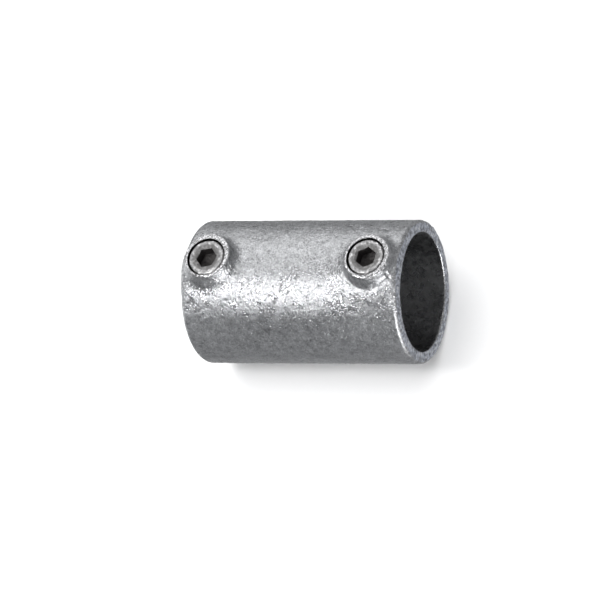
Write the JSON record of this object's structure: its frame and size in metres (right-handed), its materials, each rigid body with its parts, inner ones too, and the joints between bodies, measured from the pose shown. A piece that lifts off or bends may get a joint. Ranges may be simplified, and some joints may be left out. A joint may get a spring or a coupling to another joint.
{
  "type": "scaffold tube coupler",
  "caption": "Cast sleeve coupling that joins scaffold or handrail tubes end to end, locked by socket set screws in raised bosses.",
  "frame": {"origin": "on the bore axis at mid-length, in the plane where the two tubes' ends meet at the stop", "axes": "+X along the bore to the right-hand end, +Z along the set screws and out of the bosses, +Y across"},
  "size_m": [0.098, 0.06, 0.065],
  "materials": {
    "galvanised_iron": "rough cast surface, hot-dip galvanised, satin zinc",
    "plated_steel": "satin plated, turned face and cut thread"
  },
  "bodies": {
    "coupler_body": {"coupler_body": "galvanised_iron"},
    "set_screw_left": {"set_screw_left": "plated_steel"},
    "set_screw_right": {"set_screw_right": "plated_steel"}
  },
  "joints": [
    {"name": "set_screw_left_travel", "type": "slide", "parent": "coupler_body", "child": "set_screw_left", "axis": [0, 0, 1], "range_m": [-0.002, 0.008]},
    {"name": "set_screw_right_travel", "type": "slide", "parent": "coupler_body", "child": "set_screw_right", "axis": [0, 0, 1], "range_m": [-0.002, 0.008]}
  ]
}
